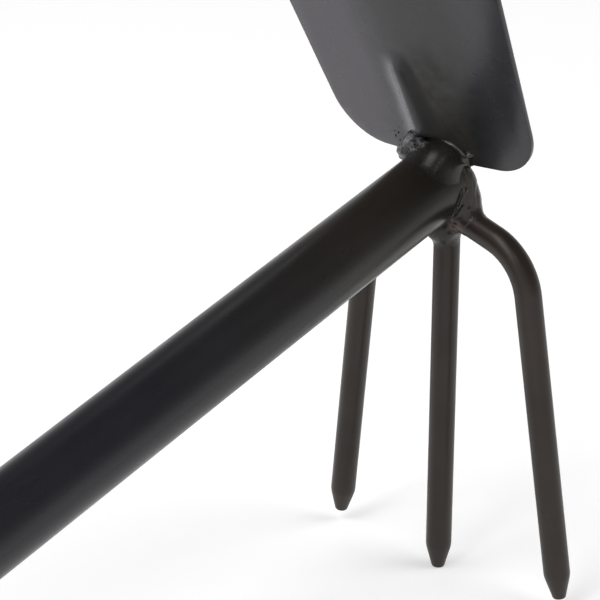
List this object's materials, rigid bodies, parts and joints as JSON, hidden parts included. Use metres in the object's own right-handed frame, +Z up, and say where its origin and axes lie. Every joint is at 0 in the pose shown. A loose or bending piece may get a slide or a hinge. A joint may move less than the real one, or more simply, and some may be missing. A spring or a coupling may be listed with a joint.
{
  "type": "double hoe",
  "caption": "One-hand garden double hoe: a flared steel hoe blade on one side and round tines on the other, welded to a tube handle with a moulded grip and hanging lug.",
  "frame": {"origin": "on the floor, under the middle of the tool's box, with the tool standing on its centre tine's tip and the heel of its grip's bulb", "axes": "+X along the handle from the head to the grip, seen from above; +Z up, towards the blade; -Y is the tool's left side"},
  "size_m": [0.3628, 0.0958, 0.2125],
  "materials": {
    "tube_paint": "black powder paint, satin, worn lighter along the lower side",
    "blade_paint": "dark grey powder paint, semi-gloss",
    "tine_paint": "black powder paint with a brownish cast, satin",
    "weld_paint": "painted over, rough and pitted",
    "grip": "matt moulded"
  },
  "bodies": {
    "root": {"handle_tube": "tube_paint", "hoe_blade": "blade_paint", "tine_bow": "tine_paint", "center_tine": "tine_paint", "weld_blade_top": "weld_paint", "weld_blade_left": "weld_paint", "weld_blade_right": "weld_paint", "weld_blade_back": "weld_paint", "weld_bow_left": "weld_paint", "weld_bow_right": "weld_paint", "weld_center_tine": "weld_paint", "grip_sleeve": "grip"}
  },
  "joints": []
}
